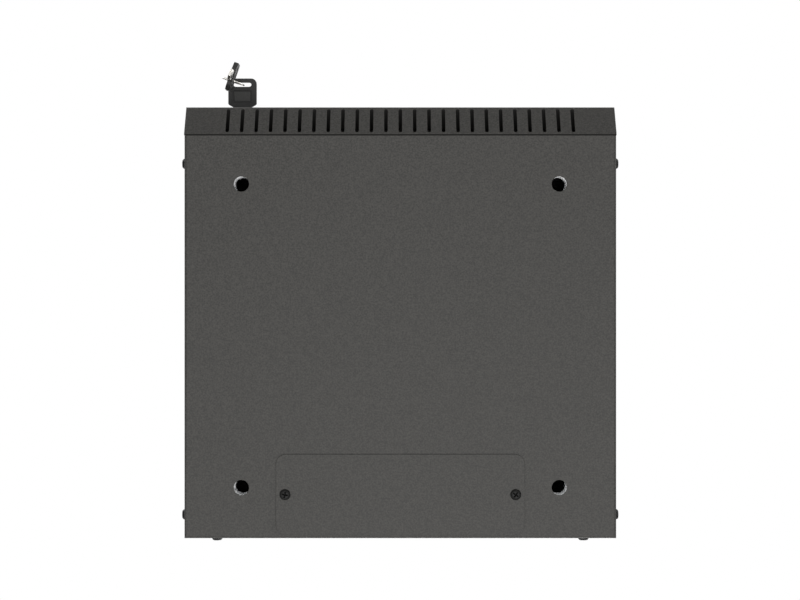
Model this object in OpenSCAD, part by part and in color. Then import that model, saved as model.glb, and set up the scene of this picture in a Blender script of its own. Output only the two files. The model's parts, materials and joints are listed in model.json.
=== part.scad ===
// Ten inch wall mount network cabinet: a folded steel case with vented sloping bezels,
// a glazed door on pivot pins with a cam lock and its keys, and two sliding rack rails.
// Millimetres. +Z is up and the door faces -Y. The origin is the centre of the four
// wall holes, on the outer face of the rear panel.

/* [Cabinet] */
// Outer width of the case
cab_w = 312; // [296:1:360]
// Outer depth of the case, from the rear flanges to the front edge of the bezels
cab_d = 312.8; // [260:0.1:420]
// Height of the case that equipment can fill, in rack units
rack_units = 4; // [4:1:9]
// Height above and below the rack units, up to the outer faces
end_room = 36.1; // [34:0.1:60]
// Thickness of the folded sheet
sheet_t = 1.2; // [1:0.1:1.4]
// Inner radius of the bends
bend_in = 0.8; // [0.5:0.1:1.2]
// Height of the flanges of the top and bottom panels
tray_flange = 22; // [18:0.5:30]
// Width of the flanges of the side panels
side_flange = 14; // [12:0.5:16]

/* [Bezel] */
// Depth, and height, of the sloping face
slope_run = 20.6; // [18:0.2:26]
// Number of vent slots in each bezel
slot_count = 25; // [9:2:25]
// Distance between neighbouring slots, on a case of the plan width
slot_pitch = 10.43; // [7:0.01:11]
// Width of a slot
slot_w = 2.6; // [1.5:0.1:3]
// Distance from the crease to the near end of a slot, along the slope
slot_margin = 1.8; // [1.6:0.1:6]
// Length of a slot
slot_l = 25.2; // [14:0.1:25.4]
// How far the bezel stands proud of the case at each side
bezel_proud = 0.2; // [0.1:0.1:0.6]
// Height of the flange that the door closes against
rebate_h = 10; // [8:0.5:14]
// Width of the two posts beside the door
post_w = 18; // [16.5:0.5:22]

/* [Cable entries] */
// Width of the plate over a cable entry, on a case of the plan width
cover_w = 179.5; // [150:0.5:200]
// Depth of the plate
cover_d = 58; // [48:0.5:58.5]
// Corner radius of the plate
cover_r = 7; // [2:0.5:10]
// Distance between the two screws of the plate, at the plate's plan width
cover_screws = 166.5; // [140:0.5:170]
// Width of the hole under the plate, at the plate's plan width
entry_w = 148; // [80:1:150]
// Depth of the hole under the plate
entry_d = 38; // [20:1:40]
// Distance from the rear of the case to the middle of the plate
entry_back = 31.7; // [30.6:0.1:60]
// Width of the cable hole in the rear panel, on a case of the plan width
rear_hole_w = 126; // [80:1:150]
// Height of the cable hole in the rear panel
rear_hole_h = 46; // [30:1:50]
// Height of the middle of that hole above the outer face of the bottom panel
rear_hole_up = 66; // [60:1:80]

/* [Holes] */
// Distance between the foot holes, across a case of the plan width
foot_dx = 229.6; // [180:0.1:240]
// Distance between the foot holes, along a case of the plan depth
foot_dy = 219.2; // [150:0.1:230]
// Distance from the rear of the case to the rear foot holes
foot_back = 36.7; // [34:0.1:60]
// Diameter of a foot hole
foot_hole_d = 11; // [9:0.1:12]
// Depth of the nut sleeve behind a foot hole
foot_nut_l = 24; // [10:0.5:26]
// Distance between the wall holes, across a case of the plan width
wall_dx = 220; // [180:1:240]
// Distance between the wall holes, upwards
wall_dz = 150; // [110:1:160]
// Diameter of a wall hole
wall_hole_d = 9; // [7:0.5:12]

/* [Door] */
// Depth of the folded door frame
door_t = 14; // [13:0.5:16]
// Gap between the door and the bezels, above and below
door_gap = 1; // [0.6:0.1:2]
// Gap between the back of the door and the frame
stop_gap = 1.8; // [1.7:0.1:3]
// Width of the steel beside the window
border_side = 56; // [55:1:70]
// Height of the steel above and below the window
border_end = 31; // [28:1:50]
// Thickness of the glass
glass_t = 3; // [2:0.5:4]
// Width of the glass hidden behind the steel
glass_lap = 7; // [5:0.5:10]
// Distance of the hinge axis from the door's edge
hinge_in = 5; // [4.8:0.1:5]
// Distance of the hinge axis behind the door's face
hinge_back = 6.2; // [6:0.1:6.6]
// Diameter of the pivot pins
pin_d = 5; // [4:0.1:5]

/* [Lock and keys] */
// Distance of the lock from the free edge of the door
lock_in = 34.6; // [30:0.1:38]
// Diameter of the lock barrel
barrel_d = 16; // [15:0.5:18]
// Length of the barrel behind the door's face
barrel_l = 21.4; // [21:0.1:26]
// Reach of the cam from the lock's axis
cam_reach = 29; // [26:0.5:30]
// Width of the plastic head of a key
bow_w = 21.8; // [20:0.1:24]
// Length of the plastic head
bow_l = 22.2; // [22:0.1:26]
// Thickness of the plastic head
bow_t = 3.4; // [3:0.1:3.6]
// Outer diameter of the key ring
ring_d = 19.5; // [19.2:0.1:21]

/* [Rack rails] */
// Distance between the hole rows of the rails, in a case of the plan width
rack_holes = 236.525; // [230:0.005:240]
// Clear width between the rails, in a case of the plan width
rack_clear = 222.4; // [220:0.1:223]
// Thickness of the rails
rail_t = 1.5; // [1.2:0.1:2]
// Depth of the side of a rail
rail_side = 30; // [24:1:40]
// Distance from the front of the case to the rails, pulled fully forward
rail_back = 42.8; // [38:0.1:60]
// How far the rails slide back
rail_travel = 90; // [40:1:120]
// Distance of the rail bars from the middle of the case, upwards
bar_up = 66; // [62:0.5:70]

/* [Hidden] */
$fn = 48;

// Height of one rack unit, and of its three holes above the unit's lower edge
unit_h = 44.45;
unit_holes = [unit_h / 7, unit_h / 2, unit_h * 6 / 7];
cab_h = rack_units * unit_h + 2 * end_room;
case_color = "dimgray";
steel_color = "silver";
plastic_color = "#202020";

// The sizes of the photographed cabinet. What is fastened near an edge moves with that edge.
plan_w = 312;
plan_d = 312.8;
plan_cover_w = 179.5;
widen = cab_w - plan_w;
deepen = cab_d - plan_d;
plate_w = cover_w + widen;
cover_widen = plate_w - plan_cover_w;

// Places that several pieces share
overrun = 1;
touch = 0.2;
bend_mid = bend_in + sheet_t / 2;
bend_out = bend_in + sheet_t;
rear_y = sheet_t;
crease_y = rear_y - (cab_d - slope_run);
front_y = rear_y - cab_d;
base_z = -cab_h / 2;
side_in = cab_w / 2 - 2 * sheet_t;
side_front_y = crease_y + sheet_t;
frame_y = front_y + door_t + stop_gap;

// Bezel fold. The slope is at 45 degrees, and its front edge folds back flat.
fold_r = 1;
fold_angle = 45;
fold_reach = fold_r * (1 / tan(fold_angle / 2) - 1) - sheet_t / 2;
seam_w = 1.2;
joggle_w = 0.8;
joggle_r = 0.7;
lip_l = 15;
slope_mid = sheet_t / sqrt(2);
floor_z = base_z + slope_mid + slope_run + fold_reach;
rebate_z = floor_z + rebate_h;
bezel_half = cab_w / 2 + bezel_proud;

// Screws: pan heads with a cross recess, and the drawn collars that they bite into
m4_r = 1.95;
m4_head_r = 4;
m4_head_h = 2.4;
m4_hole_r = 2.05;
m4_l = 6;
collar_r = 3.4;
collar_h = 1.6;
cross_w = 1.1;
cross_l = 4.4;
cross_depth = 1.2;
edge_screw_up = 12;
side_screw_front = 21;
side_screw_rear = 16.5;
rear_screw_in = 23;
rear_screw_x = cab_w / 2 - rear_screw_in;
post_screw_in = 7;
post_screw_z = 45;
pan_dome = 1.6;

// Door
door_w = cab_w;
door_half_h = -floor_z - sheet_t / 2 - door_gap;
door_back_y = front_y + door_t;
window_w = door_w - 2 * border_side;
window_h = 2 * (door_half_h - border_end);
window_r = 5;
gasket_t = 1;
glass_w = window_w + 2 * glass_lap;
glass_h = window_h + 2 * glass_lap;
glass_y = front_y + sheet_t + gasket_t;
clip_t = 1;
clip_w = 12;
clip_bite = 5;
clip_foot = 11;
stud_r = 1.9;
stud_out = 6;
hinge_x = door_w / 2 - hinge_in;
hinge_y = front_y + hinge_back;
pin_fit = 0.08;
bracket_t = 1.5;
bracket_h = 28;
bracket_ear = 10;
collar_pin_r = 3.4;
bumper_r = 4;

// Lock
lock_x = -door_w / 2 + lock_in;
lock_flange_r = 9.5;
lock_flange_h = 2.6;
plug_r = 5.5;
plug_fit = 0.1;
plug_past = 1;
keyway_w = 8.4;
keyway_h = 2.3;
keyway_l = 19;
lock_nut_af = 21;
lock_nut_h = 4;
cam_t = 2;
cam_w = 16;
cam_screw_r = 3.5;
cam_screw_h = 2.4;
cam_thread_r = 1.45;
tang = 6;

// Key: the head's base stands off the door, and the blade runs back into the plug
bow_off = 7.5;
bow_neck_w = 13.8;
bow_taper = 3.8;
bow_foot_r = 3;
bow_top_r = 4;
bow_slot_w = 13.7;
bow_slot_h = 4.2;
bow_strip = 2.2;
bow_pad_w = 12.3;
bow_pad_l = 7.2;
bow_pad_up = 4.8;
bow_pad_deep = 0.35;
bow_pad_r = 1;
blade_w = 8;
blade_t = 2;
blade_in = 14;
blade_root = 6;
blade_fit = 0.1;
wire_r = 0.75;
ring_turn = 19.5;
ring_hang = 5.5;
ring_mean_r = ring_d / 2 - wire_r;
ring_at = [3.9, 2.5];
spare_slip = 2;
wire_gap = 0.3;

// Rails and the bars that they slide on
rail_past = 3;
rail_half_h = rack_units * unit_h / 2 + rail_past;
rail_y = front_y + rail_back;
rail_hole = 9.5;
rail_lip = 9;
bar_deep = 20.6;
rail_out = side_in - bar_deep;
rail_gap = 0.2;
bar_t = 1.2;
bar_half = 14;
bar_foot = 8;
bar_short = 60;
bar_l = cab_d - bar_short;
bar_clear = 6;
m5_r = 2.45;
m5_head_r = 4.75;
m5_head_h = 3;
m5_hole_r = 2.6;
m5_nut_af = 8;
m5_nut_h = 4;
m5_past = 2;
rail_screw_back = 18;

// Plane geometry: folded strips and rounded outlines
bend_steps = 4;
function unit(v) = v / norm(v);
function left_of(v) = unit([-v[1], v[0]]);
function heading(v) = atan2(v[1], v[0]);
function swing(a, b) = let(d = heading(b) - heading(a)) d > 180 ? d - 360 : d < -180 ? d + 360 : d;

// The bend of a strip at the point b, on the edge that lies s to the left of the strip's middle
function bend_points(a, b, c, r, s, steps) =
    let(
        turn = swing(b - a, c - b),
        half = (180 - abs(turn)) / 2,
        centre = b + unit(unit(a - b) + unit(c - b)) * r / sin(half),
        side = turn > 0 ? -1 : 1,
        start = heading(b - a) + 90
    )
    [for (i = [0:steps]) let(n = start + turn * i / steps) centre + (side * r + s) * [cos(n), sin(n)]];

function strip_edge(p, r, s) = let(last = len(p) - 1) [
    p[0] + s * left_of(p[1] - p[0]),
    for (i = [1:1:last - 1]) each bend_points(p[i - 1], p[i], p[i + 1], r[i], s, bend_steps),
    p[last] + s * left_of(p[last] - p[last - 1])
];

function reversed(p) = [for (i = [len(p) - 1:-1:0]) p[i]];

// A folded strip of thickness t along the middle line p, with a middle bend radius at each point
module strip(p, t, r) {
    polygon(concat(strip_edge(p, r, t / 2), reversed(strip_edge(p, r, -t / 2))));
}

// A closed outline through the points p with corner radii r
module outline(p, r, steps = 4) {
    n = len(p);
    polygon([
        for (i = [0:n - 1])
            each r[i] == 0 ? [p[i]] : bend_points(p[(i + n - 1) % n], p[i], p[(i + 1) % n], r[i], 0, steps)
    ]);
}

module rounded_plate(w, h, r, steps = 4) {
    outline([[-w / 2, -h / 2], [w / 2, -h / 2], [w / 2, h / 2], [-w / 2, h / 2]], [r, r, r, r], steps);
}

// Extrusions along the three axes. The profile of along_x is (y, z), and that of along_y is (x, z).
module along_x(l) {
    rotate([90, 0, 90]) linear_extrude(l, center = true) children();
}

module along_y(from_y, to_y) {
    translate([0, to_y, 0]) rotate([90, 0, 0]) linear_extrude(to_y - from_y) children();
}

// A cylinder whose axis is along Y, from from_y to to_y
module bar_y(r, from_y, to_y) {
    translate([0, to_y, 0]) rotate([90, 0, 0]) cylinder(r = r, h = to_y - from_y);
}

// A child drawn on the right, and its copy on the left
module both_sides() {
    children();
    mirror([1, 0, 0]) children();
}

module both_ends() {
    children();
    mirror([0, 0, 1]) children();
}

// Pan head screw standing on z = 0, with its head above and its shank below
module pan_screw(shank_r, shank_l, head_r, head_h) {
    difference() {
        union() {
            translate([0, 0, -shank_l]) cylinder(r = shank_r, h = shank_l + head_h / 2);
            intersection() {
                cylinder(r = head_r, h = head_h);
                translate([0, 0, head_h - head_r * pan_dome]) sphere(r = head_r * pan_dome, $fn = 64);
            }
        }
        for (a = [0, 90])
            rotate(a)
                translate([-cross_l / 2, -cross_w / 2, head_h - cross_depth])
                    cube([cross_l, cross_w, cross_depth + overrun]);
    }
}

module m4_screw() {
    pan_screw(m4_r, m4_l, m4_head_r, m4_head_h);
}

module hex_nut(af, h, hole_r) {
    difference() {
        cylinder(d = af / cos(30), h = h, $fn = 6);
        translate([0, 0, -overrun]) cylinder(r = hole_r, h = h + 2 * overrun);
    }
}

// Places of the screws along the edges of the case
side_screw_ys = [crease_y + side_screw_front, rear_y - side_screw_rear];
entry_y = rear_y - entry_back;
foot_x = (foot_dx + widen) / 2;
foot_ys = [rear_y - foot_back, rear_y - foot_back - foot_dy - deepen];
cover_screw_x = (cover_screws + cover_widen) / 2;
edge_z = base_z + edge_screw_up;

// On each lower side flange, with local +Z pointing out of the case to the right
module at_side_screws() {
    for (y = side_screw_ys)
        translate([cab_w / 2, y, edge_z])
            rotate([0, 90, 0])
                children();
}

// On the rear, with local +Z pointing backwards
module at_rear_edge_screws() {
    for (x = [-rear_screw_x, rear_screw_x])
        translate([x, 0, edge_z])
            rotate([-90, 0, 0])
                children();
}

module at_rear_post_screws() {
    for (x = [-1, 1], z = [-1, 1])
        translate([x * (side_in + sheet_t - post_screw_in), 0, z * post_screw_z])
            rotate([-90, 0, 0])
                children();
}

// Bottom panel: one sheet with three flanges turned up, foot holes and a cable entry. Its corners
// are closed, so it is one rounded block less another.
module tray_block(inset, r, past) {
    half = cab_w / 2 - inset;
    low = base_z + inset;
    up = base_z + tray_flange + past;
    front = crease_y + seam_w - past;
    rear = rear_y - inset;
    intersection() {
        along_y(front, rear) outline([[-half, up], [-half, low], [half, low], [half, up]], [0, r, r, 0]);
        along_x(2 * half) outline([[front, up], [front, low], [rear, low], [rear, up]], [0, 0, r, 0]);
    }
}

module panel_sheet() {
    difference() {
        tray_block(0, bend_out, 0);
        tray_block(sheet_t, bend_in, overrun);
    }
}

module entry_holes() {
    translate([0, entry_y, base_z - overrun])
        linear_extrude(sheet_t + 2 * overrun)
            rounded_plate(entry_w + cover_widen, entry_d, cover_r);
    for (x = [-1, 1])
        translate([x * cover_screw_x, entry_y, base_z - overrun])
            cylinder(r = m4_hole_r, h = sheet_t + collar_h + 2 * overrun);
}

module panel(feet) {
    difference() {
        union() {
            panel_sheet();
            for (x = [-1, 1])
                translate([x * cover_screw_x, entry_y, base_z + sheet_t / 2])
                    cylinder(r = collar_r, h = sheet_t / 2 + collar_h);
        }
        entry_holes();
        if (feet)
            for (x = [-1, 1], y = foot_ys)
                translate([x * foot_x, y, base_z - overrun])
                    cylinder(d = foot_hole_d, h = sheet_t + 2 * overrun);
        both_sides()
            at_side_screws()
                translate([0, 0, -sheet_t - overrun]) cylinder(r = m4_hole_r, h = sheet_t + 2 * overrun);
        at_rear_edge_screws()
            translate([0, 0, -overrun]) cylinder(r = m4_hole_r, h = sheet_t + 2 * overrun);
    }
}

module bottom_panel() {
    color(case_color) panel(true);
}

module top_panel() {
    color(case_color) mirror([0, 0, 1]) panel(false);
}

// Right side panel: a sheet between the trays, with flanges behind the door post and the rear panel
side_z = -base_z - 2 * sheet_t - touch;
module side_panel() {
    x = side_in + sheet_t / 2;
    inner = side_in + sheet_t - side_flange;
    front = side_front_y - sheet_t / 2;
    rear = -sheet_t * 3 / 2;
    difference() {
        union() {
            translate([0, 0, -side_z])
                linear_extrude(2 * side_z)
                    strip(
                        [[inner, front], [x, front], [x, rear], [inner, rear]],
                        sheet_t,
                        [0, bend_mid, bend_mid, 0]
                    );
            both_ends()
                for (y = side_screw_ys)
                    translate([side_in - collar_h, y, edge_z])
                        rotate([0, 90, 0]) cylinder(r = collar_r, h = collar_h + sheet_t / 2);
            at_side_post_collars() cylinder(r = collar_r, h = collar_h + sheet_t / 2);
        }
        both_ends()
            for (y = side_screw_ys)
                translate([side_in - collar_h - overrun, y, edge_z])
                    rotate([0, 90, 0]) cylinder(r = m4_hole_r, h = collar_h + sheet_t + 2 * overrun);
        at_side_post_collars()
            translate([0, 0, -overrun]) cylinder(r = m4_hole_r, h = collar_h + sheet_t + 2 * overrun);
    }
}

// The collars of the rear flange, each with local +Z pointing backwards
module at_side_post_collars() {
    for (z = [-1, 1])
        translate([side_in + sheet_t - post_screw_in, -2 * sheet_t - collar_h, z * post_screw_z])
            rotate([-90, 0, 0])
                children();
}

module right_side_panel() {
    color(case_color) side_panel();
}

module left_side_panel() {
    color(case_color) mirror([1, 0, 0]) side_panel();
}

// Rear panel: flat, with four wall holes and a cable hole
rear_half_w = side_in + sheet_t;
rear_half_h = -base_z - sheet_t - bend_in;
rear_hole_z = base_z + rear_hole_up;
rear_hole_l = rear_hole_w + widen;
rear_hole_r = 8;
module rear_panel() {
    color(case_color)
        difference() {
            union() {
                translate([-rear_half_w, -sheet_t, -rear_half_h])
                    cube([2 * rear_half_w, sheet_t, 2 * rear_half_h]);
                both_ends()
                    at_rear_edge_screws()
                        translate([0, 0, -sheet_t - collar_h])
                            cylinder(r = collar_r, h = collar_h + sheet_t / 2);
            }
            both_ends()
                at_rear_edge_screws()
                    translate([0, 0, -sheet_t - collar_h - overrun])
                        cylinder(r = m4_hole_r, h = collar_h + sheet_t + 2 * overrun);
            at_rear_post_screws()
                translate([0, 0, -sheet_t - overrun])
                    cylinder(r = m4_hole_r, h = sheet_t + 2 * overrun);
            for (x = [-1, 1], z = [-1, 1])
                translate([x * (wall_dx + widen) / 2, 0, z * wall_dz / 2])
                    bar_y(wall_hole_d / 2, -sheet_t - overrun, overrun);
            translate([0, 0, rear_hole_z])
                along_y(-sheet_t - overrun, overrun)
                    rounded_plate(rear_hole_l, rear_hole_h, rear_hole_r);
        }
}

// Rubber edging pressed round the rear cable hole
edging_t = 1;
edging_h = 3;
edging_fit = 0.1;
module rear_cable_edging() {
    in_w = rear_hole_l - 2 * edging_t;
    in_h = rear_hole_h - 2 * edging_t;
    color(plastic_color)
        translate([0, 0, rear_hole_z])
            difference() {
                along_y(-sheet_t - edging_t - edging_fit, edging_t + edging_fit)
                    rounded_plate(
                        rear_hole_l + 2 * edging_h,
                        rear_hole_h + 2 * edging_h,
                        rear_hole_r + edging_h
                    );
                along_y(-sheet_t - edging_t - overrun, edging_t + overrun)
                    rounded_plate(in_w, in_h, rear_hole_r - edging_t);
                along_y(-sheet_t - edging_fit, edging_fit)
                    difference() {
                        rounded_plate(
                            rear_hole_l + 2 * edging_h + overrun,
                            rear_hole_h + 2 * edging_h + overrun,
                            rear_hole_r + edging_h
                        );
                        rounded_plate(
                            rear_hole_l - 2 * edging_fit,
                            rear_hole_h - 2 * edging_fit,
                            rear_hole_r - edging_fit
                        );
                    }
            }
}

// Lower bezel: a lip under the panel, the vented slope, the floor of the door recess and a rebate.
// End plates close the fold at both sides.
module bezel_profile() {
    strip(
        [
            [crease_y + seam_w + lip_l, base_z + sheet_t * 3 / 2],
            [crease_y + joggle_w, base_z + sheet_t * 3 / 2],
            [crease_y, base_z + slope_mid],
            [front_y - fold_reach, floor_z],
            [frame_y + sheet_t / 2, floor_z],
            [frame_y + sheet_t / 2, rebate_z]
        ],
        sheet_t,
        [0, joggle_r, joggle_r, fold_r, bend_mid, 0]
    );
}

module bezel_end() {
    polygon([
        [crease_y + seam_w - touch, base_z + slope_mid],
        [crease_y + seam_w - touch, rebate_z],
        [frame_y + sheet_t / 2, rebate_z],
        [frame_y + sheet_t / 2, floor_z],
        [front_y + fold_r, floor_z],
        [front_y + fold_r, floor_z - fold_r - sheet_t / 2]
    ]);
}

module vent_slots() {
    slope_l = slope_run * sqrt(2);
    for (i = [0:slot_count - 1])
        translate([(i - (slot_count - 1) / 2) * slot_pitch * cab_w / plan_w, crease_y, base_z])
            rotate([-fold_angle, 0, 0])
                translate([0, -slot_margin - slot_l / 2, -overrun])
                    linear_extrude(sheet_t + 2 * overrun)
                        rounded_plate(slot_w, slot_l, slot_w / 2 - touch, 2);
}

module bezel() {
    difference() {
        union() {
            along_x(2 * bezel_half) bezel_profile();
            both_sides()
                translate([bezel_half - sheet_t / 2, 0, 0]) along_x(sheet_t) bezel_end();
        }
        vent_slots();
        both_sides()
            translate([cab_w / 2 - bend_out, crease_y + seam_w - touch, base_z - overrun])
                cube([bend_out + overrun, seam_w + lip_l, 3 * sheet_t + overrun]);
        translate([hinge_x, hinge_y, floor_z - 2 * sheet_t])
            cylinder(r = pin_d / 2 + pin_fit, h = 4 * sheet_t);
    }
}

module bottom_vent_bezel() {
    color(case_color) bezel();
}

module top_vent_bezel() {
    color(case_color) mirror([0, 0, 1]) bezel();
}

// Door post: a boxed strip that carries the side of the case forward to the door
post_z = -rebate_z - touch;
module door_post() {
    outer = bezel_half - sheet_t / 2;
    inner = bezel_half - post_w + sheet_t / 2;
    back = crease_y - sheet_t / 2;
    front = frame_y + sheet_t / 2;
    translate([0, 0, -post_z])
        linear_extrude(2 * post_z)
            strip(
                [
                    [side_in + sheet_t - side_flange, back],
                    [outer, back],
                    [outer, front],
                    [inner, front],
                    [inner, back + sheet_t / 2]
                ],
                sheet_t,
                [0, bend_mid, bend_mid, bend_mid, 0]
            );
}

module right_door_post() {
    color(case_color) door_post();
}

module left_door_post() {
    color(case_color) mirror([1, 0, 0]) door_post();
}

// Plate over the cable entry of the bottom panel
module cable_cover() {
    translate([0, entry_y, base_z - sheet_t])
        difference() {
            linear_extrude(sheet_t) rounded_plate(plate_w, cover_d, cover_r, 6);
            for (x = [-1, 1])
                translate([x * cover_screw_x, 0, -overrun])
                    cylinder(r = m4_hole_r, h = sheet_t + 2 * overrun);
        }
}

module cover_screw_pair() {
    for (x = [-1, 1])
        translate([x * cover_screw_x, entry_y, base_z - sheet_t])
            rotate([180, 0, 45]) m4_screw();
}

module bottom_cable_cover() {
    color(case_color) cable_cover();
}

module top_cable_cover() {
    color(case_color) mirror([0, 0, 1]) cable_cover();
}

module bottom_cover_screws() {
    color(plastic_color) cover_screw_pair();
}

module top_cover_screws() {
    color(plastic_color) mirror([0, 0, 1]) cover_screw_pair();
}

module side_screws() {
    color(plastic_color)
        both_ends()
            both_sides()
                at_side_screws() rotate(45) m4_screw();
}

module rear_screws() {
    color(plastic_color) {
        both_ends()
            translate([0, sheet_t, 0])
                at_rear_edge_screws() rotate(45) m4_screw();
        at_rear_post_screws() rotate(45) m4_screw();
    }
}

// Nut sleeves for feet or castors: a flange on the panel and a long plain bore
foot_nut_wall = 1.5;
foot_flange_r = 9.5;
foot_flange_h = 1.5;
module foot_nut() {
    difference() {
        union() {
            cylinder(r = foot_flange_r, h = foot_flange_h);
            cylinder(r = foot_hole_d / 2 + foot_nut_wall, h = foot_nut_l);
        }
        translate([0, 0, -overrun])
            cylinder(d = foot_hole_d, h = foot_nut_l + 2 * overrun);
    }
}

module foot_nuts() {
    color(steel_color)
        for (x = [-1, 1], y = foot_ys)
            translate([x * foot_x, y, base_z + sheet_t]) foot_nut();
}

// Hat section bar, welded inside a side panel. The rails slide along its slot.
bar_front_y = side_front_y + bar_clear;
rail_screw_y = rail_y + rail_t / 2 + rail_screw_back;
module rail_bar() {
    face = rail_out + bar_t / 2;
    foot = side_in - bar_t / 2;
    slot_len = rail_travel + 2 * m5_hole_r;
    translate([0, 0, bar_up])
        difference() {
            along_y(bar_front_y, bar_front_y + bar_l)
                strip(
                    [
                        [foot, bar_half + bar_foot],
                        [foot, bar_half],
                        [face, bar_half],
                        [face, -bar_half],
                        [foot, -bar_half],
                        [foot, -bar_half - bar_foot]
                    ],
                    bar_t,
                    [0, bend_mid, bend_mid, bend_mid, bend_mid, 0]
                );
            translate([face, rail_screw_y + rail_travel / 2, 0])
                rotate([0, 90, 0])
                    linear_extrude(bar_t + 2 * overrun, center = true)
                        rotate(90) rounded_plate(slot_len, 2 * m5_hole_r, m5_hole_r - touch, 3);
        }
}

module bar_right_upper() {
    color(steel_color) rail_bar();
}

module bar_right_lower() {
    color(steel_color) mirror([0, 0, 1]) rail_bar();
}

module bar_left_upper() {
    color(steel_color) mirror([1, 0, 0]) rail_bar();
}

module bar_left_lower() {
    color(steel_color) mirror([1, 0, 0]) mirror([0, 0, 1]) rail_bar();
}

// Rack rail: a lip, a face with square holes for cage nuts, and a side that bears on the bars
module rack_rail() {
    inner = (rack_clear + widen + rail_t) / 2;
    outer = rail_out - rail_gap - rail_t / 2;
    difference() {
        translate([0, 0, -rail_half_h])
            linear_extrude(2 * rail_half_h)
                strip(
                    [
                        [inner, rail_y + rail_lip],
                        [inner, rail_y + rail_t / 2],
                        [outer, rail_y + rail_t / 2],
                        [outer, rail_y + rail_side]
                    ],
                    rail_t,
                    [0, bend_in + rail_t / 2, bend_in + rail_t / 2, 0]
                );
        for (u = [0:rack_units - 1], h = unit_holes)
            translate([(rack_holes + widen) / 2, rail_y + rail_t / 2, (u - rack_units / 2) * unit_h + h])
                cube([rail_hole, rail_t + 2 * overrun, rail_hole], center = true);
        for (z = [-1, 1])
            translate([outer, rail_screw_y, z * bar_up])
                rotate([0, 90, 0]) cylinder(r = m5_hole_r, h = rail_t + 2 * overrun, center = true);
    }
}

rail_nut_x = rail_out + bar_t + rail_gap;
module rail_screw_pair() {
    inside = rail_out - rail_gap - rail_t;
    for (z = [-1, 1])
        translate([inside, rail_screw_y, z * bar_up])
            rotate([0, -90, 0])
                pan_screw(m5_r, rail_nut_x - inside + m5_nut_h + m5_past, m5_head_r, m5_head_h);
}

module rail_nut_pair() {
    for (z = [-1, 1])
        translate([rail_nut_x, rail_screw_y, z * bar_up])
            rotate([0, 90, 0]) hex_nut(m5_nut_af, m5_nut_h, m5_r + blade_fit);
}

module right_rail() {
    color("gray") rack_rail();
}

module left_rail() {
    color("gray") mirror([1, 0, 0]) rack_rail();
}

module right_rail_screws() {
    color(steel_color) rail_screw_pair();
}

module left_rail_screws() {
    color(steel_color) mirror([1, 0, 0]) rail_screw_pair();
}

module right_rail_nuts() {
    color(steel_color) rail_nut_pair();
}

module left_rail_nuts() {
    color(steel_color) mirror([1, 0, 0]) rail_nut_pair();
}

// Earth studs, one on the bottom panel and one on the door, each with its nut
earth_r = 2.9;
earth_l = 16;
earth_lead_r = 2.7;
earth_lead_l = 5.5;
earth_head_r = 4.5;
earth_head_h = 1;
earth_nut_af = 10;
earth_nut_h = 5;
earth_nut_up = 4;
earth_in = 40;
earth_front = 90;
earth_x = -cab_w / 2 + earth_in;
earth_y = crease_y + earth_front;
module stud() {
    cylinder(r = earth_head_r, h = earth_head_h);
    cylinder(r = earth_r, h = earth_l - earth_lead_l);
    cylinder(r = earth_lead_r, h = earth_l);
}

module stud_nut() {
    translate([0, 0, earth_nut_up]) hex_nut(earth_nut_af, earth_nut_h, earth_r + blade_fit);
}

module at_earth() {
    translate([earth_x, earth_y, base_z + sheet_t]) children();
}

module earth_stud() {
    color("goldenrod") at_earth() stud();
}

module earth_nut() {
    color(steel_color) at_earth() stud_nut();
}

// Rubber pads on the left post and the rebates, which the door's rim closes onto
bumper_gap = 0.2;
module door_bumpers() {
    color(plastic_color)
        for (z = [-post_z / 2, post_z / 2])
            translate([-door_w / 2 + bumper_r, 0, z])
                bar_y(bumper_r, frame_y - stop_gap + bumper_gap, frame_y);
}

// Door frame: a folded pan with a window, and welded studs for the glass clips
module door_block(inset, r, past) {
    half = door_w / 2 - inset;
    top = door_half_h - inset;
    face = front_y + inset;
    back = door_back_y + past;
    intersection() {
        translate([0, 0, -top])
            linear_extrude(2 * top)
                outline([[-half, back], [-half, face], [half, face], [half, back]], [0, r, r, 0]);
        along_x(2 * half) outline([[back, -top], [face, -top], [face, top], [back, top]], [0, r, r, 0]);
    }
}

module door_sheet() {
    difference() {
        door_block(0, bend_out, 0);
        door_block(sheet_t, bend_in, overrun);
    }
}

clip_span_x = glass_w / 4;
clip_span_z = glass_h / 4;
clip_off = (clip_foot - clip_bite) / 2 + touch;
// Each clip, with local +Y pointing away from the glass and local +Z into the case
module at_clips() {
    for (x = [-1, 1], z = [-1, 1])
        translate([x * clip_span_x, front_y + sheet_t, z * glass_h / 2])
            rotate([-90, 0, 0])
                rotate(z > 0 ? 180 : 0)
                    children();
    for (x = [-1, 1], z = [-1, 1])
        translate([x * glass_w / 2, front_y + sheet_t, z * clip_span_z])
            rotate([-90, 0, 0])
                rotate(-x * 90)
                    children();
}

lock_hole_fit = 0.1;
module door_frame() {
    color(case_color)
        difference() {
            union() {
                door_sheet();
                at_clips()
                    translate([0, clip_bite + clip_off, -sheet_t / 2])
                        cylinder(r = stud_r, h = stud_out + sheet_t / 2 + clip_t);
            }
            along_y(front_y - overrun, front_y + sheet_t + overrun)
                rounded_plate(window_w, window_h, window_r);
            translate([lock_x, 0, 0])
                bar_y(barrel_d / 2 + lock_hole_fit, front_y - overrun, front_y + sheet_t + overrun);
            both_ends()
                translate([hinge_x, hinge_y, door_half_h - 2 * sheet_t])
                    cylinder(r = pin_d / 2 + pin_fit, h = 3 * sheet_t);
        }
}

module door_glass() {
    color([0.45, 0.5, 0.52, 0.35])
        along_y(glass_y, glass_y + glass_t) rounded_plate(glass_w, glass_h, window_r);
}

module glass_gasket() {
    color(plastic_color)
        along_y(front_y + sheet_t, glass_y)
            difference() {
                rounded_plate(glass_w, glass_h, window_r);
                rounded_plate(window_w, window_h, window_r);
            }
}

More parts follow.
